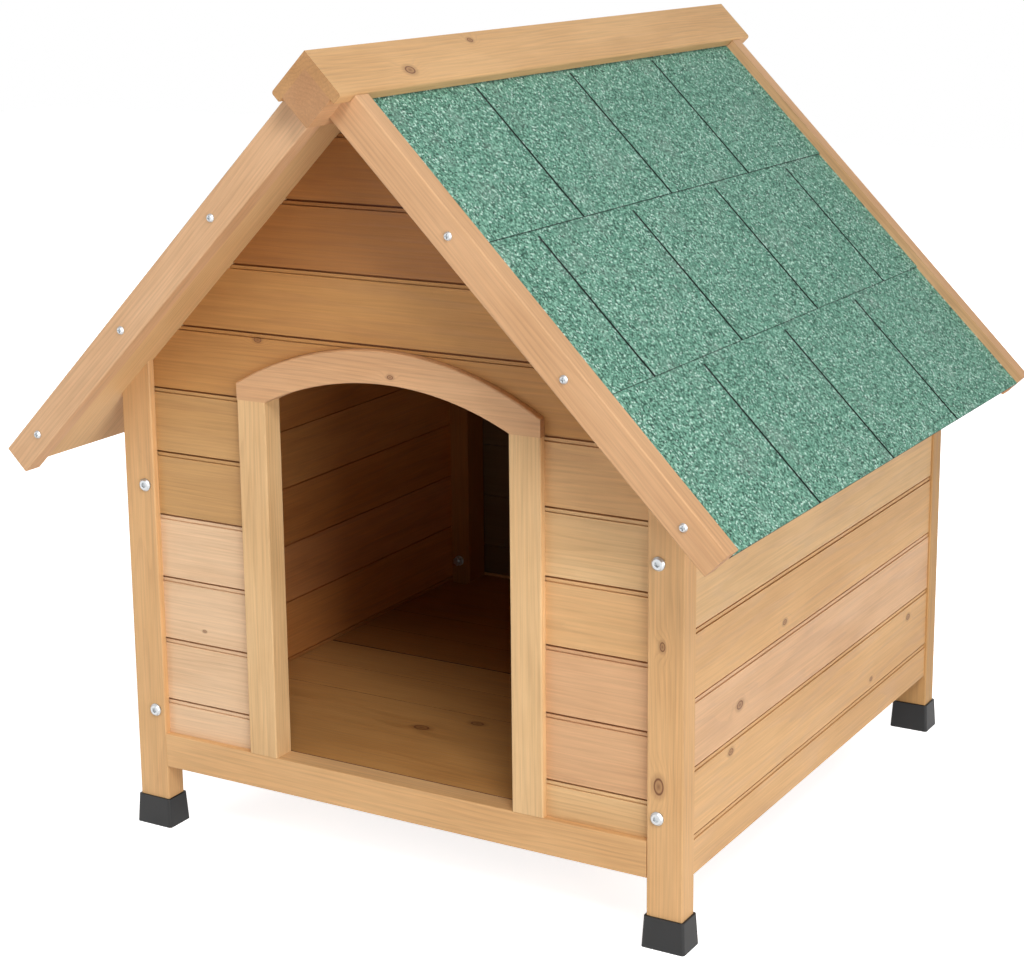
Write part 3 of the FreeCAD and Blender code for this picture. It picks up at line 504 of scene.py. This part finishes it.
floor_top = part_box("floor_planks_front")[1].z
plank_seams_shade_plane = ((0, 0, 1), floor_top - EASED_EDGE, (0.3, 0.22, 0.18))
for half, tone, depth, knots in (
    (
        "front", AMBER, -0.15,
        (((-0.056, -0.1705, floor_top), 6.0), ((-0.011, -0.1335, floor_top), 5.0)),
    ),
    ("rear", UMBER_PAINTED_SHADE, 0.17, (((-0.190, 0.0025, floor_top), 6.0),)),
):
    planks = stained_spruce(
        f"floor_{half}_spruce", tone, along_x(), (depth, 0.06), FLOOR_RING_MM, knots, plank_seams_shade_plane
    )
    finish_of(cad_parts[f"floor_planks_{half}"], planks)
    battens = stained_spruce(f"battens_{half}_spruce", HONEY, along_y(), (0.0, 0.05))
    finish_of(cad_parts[f"floor_battens_{half}"], battens)

# ---------------------------------------------------------------- roof decks
# A sheet on each slope, from the ridge beam to the eave, with the same stain on its underside,
# which shows in the overhang.

SLOPE = math.radians(45.5)
# Their pale sand tone is partly painted light, thrown up from the white floor under the overhang.
for side, lean in (("left", SLOPE), ("right", -SLOPE)):
    deck = stained_spruce(f"deck_{side}_spruce", SAND, (0, lean, 0), (0.05, 0.50))
    finish_of(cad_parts[f"roof_deck_{side}"], deck)

# ---------------------------------------------------------------- felt
# Bitumen roofing felt in square tabs, under crushed slate granules: a green mix of pale, middle and
# dark grains about a millimetre across. They are drawn at 1.7 mm so that they show. Its cut edges
# and the plain underlay in its slots are black bitumen.

SLATE_GRAIN_MM = 1.7
SLATE_MIX = (
    (0.0, "#2C5144"),
    (0.16, "#4A7966"),
    (0.38, "#629782"),
    (0.62, "#79AC96"),
    (0.82, "#98C6B2"),
    (0.94, "#CAE6DA"),
)
DUST = "#93A39A"
BLOTCH_MM = 45
BITUMEN = "#16211D"


def green_slate_felt(name, up_from_slope):
    """Felt under slate granules, bare at its cut edges, which don't face up from the slope."""
    material, tree, surface = new_finish(name)
    place = add(tree, "ShaderNodeTexCoord").outputs["Object"]
    grains = add(
        tree, "ShaderNodeTexVoronoi", {"Scale": 1000 / SLATE_GRAIN_MM, "Randomness": 1.0}, Vector=place
    )
    one_grain = add(tree, "ShaderNodeSeparateColor", {}, Color=grains.outputs["Color"])
    mix = add(tree, "ShaderNodeValToRGB", {}, Fac=one_grain.outputs["Red"])
    ramp = mix.color_ramp
    ramp.interpolation = "CONSTANT"
    for stop, (at, grain_colour) in enumerate(SLATE_MIX):
        step = ramp.elements[stop] if stop < 2 else ramp.elements.new(at)
        step.position = at
        step.color = linear(grain_colour)
    blotches = add(tree, "ShaderNodeTexNoise", {"Scale": 1000 / BLOTCH_MM, "Detail": 4.0}, Vector=place)
    blotchy = add(
        tree, "ShaderNodeMapRange", {"From Min": 0.55, "From Max": 0.75, "To Min": 0.0,
        "To Max": 0.25}, Value=blotches.outputs["Fac"],
    )
    dusted = add(
        tree, "ShaderNodeMix", {"data_type": "RGBA", "input7": linear(DUST)},
        input0=blotchy.outputs[0], input6=mix.outputs["Color"],
    )
    facing = add(tree, "ShaderNodeNewGeometry").outputs["True Normal"]
    outward = add(
        tree, "ShaderNodeVectorMath", {"operation": "DOT_PRODUCT", "input1": up_from_slope},
        input0=facing,
    )
    cut_edge = add(
        tree, "ShaderNodeMath", {"operation": "LESS_THAN", "input1": FACES_THAT_WAY},
        input0=outward.outputs["Value"],
    )
    felt_colour = add(
        tree, "ShaderNodeMix", {"data_type": "RGBA", "input7": linear(BITUMEN)},
        input0=cut_edge.outputs[0], input6=dusted.outputs[2],
    )
    tree.links.new(felt_colour.outputs[2], surface.inputs["Base Color"])
    bump = add(
        tree, "ShaderNodeBump", {"Strength": 0.6, "Distance": 0.0006},
        Height=one_grain.outputs["Green"],
    )
    tree.links.new(bump.outputs[0], surface.inputs["Normal"])
    surface.inputs["Roughness"].default_value = 0.9
    return material


black_bitumen, tree, surface = new_finish("plain_bitumen_felt")
surface.inputs["Base Color"].default_value = linear(BITUMEN)
surface.inputs["Roughness"].default_value = 0.75
finish_of(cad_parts["felt_underlay"], black_bitumen)

for side, outside in (("left", -1), ("right", 1)):
    up_from_slope = (outside * math.sin(SLOPE), 0, math.cos(SLOPE))
    green_felt = green_slate_felt(f"green_slate_felt_{side}", up_from_slope)
    finish_of(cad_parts[f"roof_felt_{side}"], green_felt)

# ---------------------------------------------------------------- barge boards
# Facing boards of planed spruce along the ends of the roof, screwed into the edges of the decks.
# They stand a little proud of the felt and run up under the ridge cap.

for end, depth in (("front", -0.41), ("rear", 0.42)):
    for side, tone, lean, off in (("left", ROSY, SLOPE, 0.60), ("right", FAWN, -SLOPE, 0.57)):
        piece = f"barge_board_{end}_{side}"
        spruce = stained_spruce(f"{piece}_spruce", tone, (0, lean, 0), (depth, off))
        finish_of(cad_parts[piece], spruce)

# ---------------------------------------------------------------- ridge
# A square beam that runs through under the ridge, set on its corner, and two boards mitred over it
# as a cap, which keeps rain out of the joint between the two slopes.

for piece, tone, height, knots in (
    ("ridge_beam", FAWN, 0.72, ()),
    ("ridge_cap_left", HONEY, 0.83, ()),
    (
        "ridge_cap_right", HONEY, 0.84,
        (((0.0245, -0.293, 0.784), 5.0), ((0.0066, -0.159, 0.802), 3.0)),
    ),
):
    spruce = stained_spruce(f"{piece}_spruce", tone, along_y(), (0.02, height), knots=knots)
    finish_of(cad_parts[piece], spruce)

# ---------------------------------------------------------------- fastenings
# Steel with bright zinc plating: flat-headed bolts with nuts and washers at the corners, and
# pan-head screws in the barge boards. The plating is slightly cloudy.

CLOUD_MM = 2.5

bright_zinc, tree, surface = new_finish("bright_zinc_plate")
place = add(tree, "ShaderNodeTexCoord").outputs["Object"]
cloud = add(tree, "ShaderNodeTexNoise", {"Scale": 1000 / CLOUD_MM, "Detail": 3.0}, Vector=place)
cloudy = add(
    tree, "ShaderNodeMapRange", {"From Min": 0.3, "From Max": 0.7, "To Min": 0.3, "To Max": 0.48},
    Value=cloud.outputs["Fac"],
)
tree.links.new(cloudy.outputs[0], surface.inputs["Roughness"])
surface.inputs["Base Color"].default_value = linear("#BFC2C4")
surface.inputs["Metallic"].default_value = 1.0
for piece in ("corner_bolts", "corner_nuts", "barge_screws"):
    finish_of(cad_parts[piece], bright_zinc)

# ---------------------------------------------------------------- studio
# A floor of white paper under a white sky. One large soft lamp stands to the right of the camera and
# above it, a low one farther right reaches under the eaves, a weak one fills in from the left, and
# one behind the house lights its back.

PAPER = "#F2F2F2"
PAPER_GLOW = 0.8
SKY_LIGHT = 0.2
HALF_FLOOR = 6.0


def seen_itself(tree):
    """1 for rays that show a thing itself or its mirror image, and 0 for those that it lights."""
    rays = add(tree, "ShaderNodeLightPath")
    direct = add(
        tree, "ShaderNodeMath", {"operation": "MAXIMUM"}, input0=rays.outputs["Is Camera Ray"],
        input1=rays.outputs["Is Glossy Ray"],
    )
    return add(
        tree, "ShaderNodeMath", {"operation": "MAXIMUM"}, input0=direct.outputs[0],
        input1=rays.outputs["Is Transmission Ray"],
    ).outputs[0]


floor_mesh = bpy.data.meshes.new("studio_floor")
shape = bmesh.new()
bmesh.ops.create_grid(shape, x_segments=1, y_segments=1, size=HALF_FLOOR)
shape.to_mesh(floor_mesh)
shape.free()
studio_floor = bpy.data.objects.new("studio_floor", floor_mesh)
scene.collection.objects.link(studio_floor)

white_paper, tree, surface = new_finish("white_paper")
surface.inputs["Base Color"].default_value = linear(PAPER)
surface.inputs["Roughness"].default_value = 0.9
glow = add(tree, "ShaderNodeEmission", {"Color": (1, 1, 1, 1), "Strength": PAPER_GLOW})
both = add(tree, "ShaderNodeAddShader", {}, input0=surface.outputs[0], input1=glow.outputs[0])
lit = add(
    tree, "ShaderNodeMixShader", {}, input0=seen_itself(tree), input1=surface.outputs[0],
    input2=both.outputs[0],
)
tree.links.new(lit.outputs[0], tree.nodes["Material Output"].inputs["Surface"])
finish_of(studio_floor, white_paper)

scene.world = bpy.data.worlds.new("white_room")
scene.world.use_nodes = True
tree = scene.world.node_tree
strength = add(
    tree, "ShaderNodeMapRange", {"To Min": SKY_LIGHT, "To Max": 1.0}, Value=seen_itself(tree)
)
background = tree.nodes["Background"]
tree.links.new(strength.outputs[0], background.inputs["Strength"])
background.inputs["Color"].default_value = (1, 1, 1, 1)

for lamp_name, lamp_at, aim, size, watts in (
    ("key_lamp", (2.0, -2.6, 3.6), (0, 0, 0.4), 1.5, 104),
    ("low_lamp", (2.9, -1.7, 0.8), (0, 0, 0.5), 1.5, 42),
    ("fill_lamp", (-2.4, -2.4, 1.2), (0, 0, 0.4), 1.8, 19),
    ("back_lamp", (-1.6, 3.0, 2.0), (0, 0, 0.4), 1.8, 55),
):
    lamp_data = bpy.data.lights.new(lamp_name, "AREA")
    lamp_data.shape = "SQUARE"
    lamp_data.size = size
    lamp_data.energy = watts
    lamp = bpy.data.objects.new(lamp_name, lamp_data)
    scene.collection.objects.link(lamp)
    lamp.location = lamp_at
    towards = Vector(aim) - Vector(lamp_at)
    lamp.rotation_euler = towards.to_track_quat("-Z", "Y").to_euler()

scene.view_settings.view_transform = "Standard"
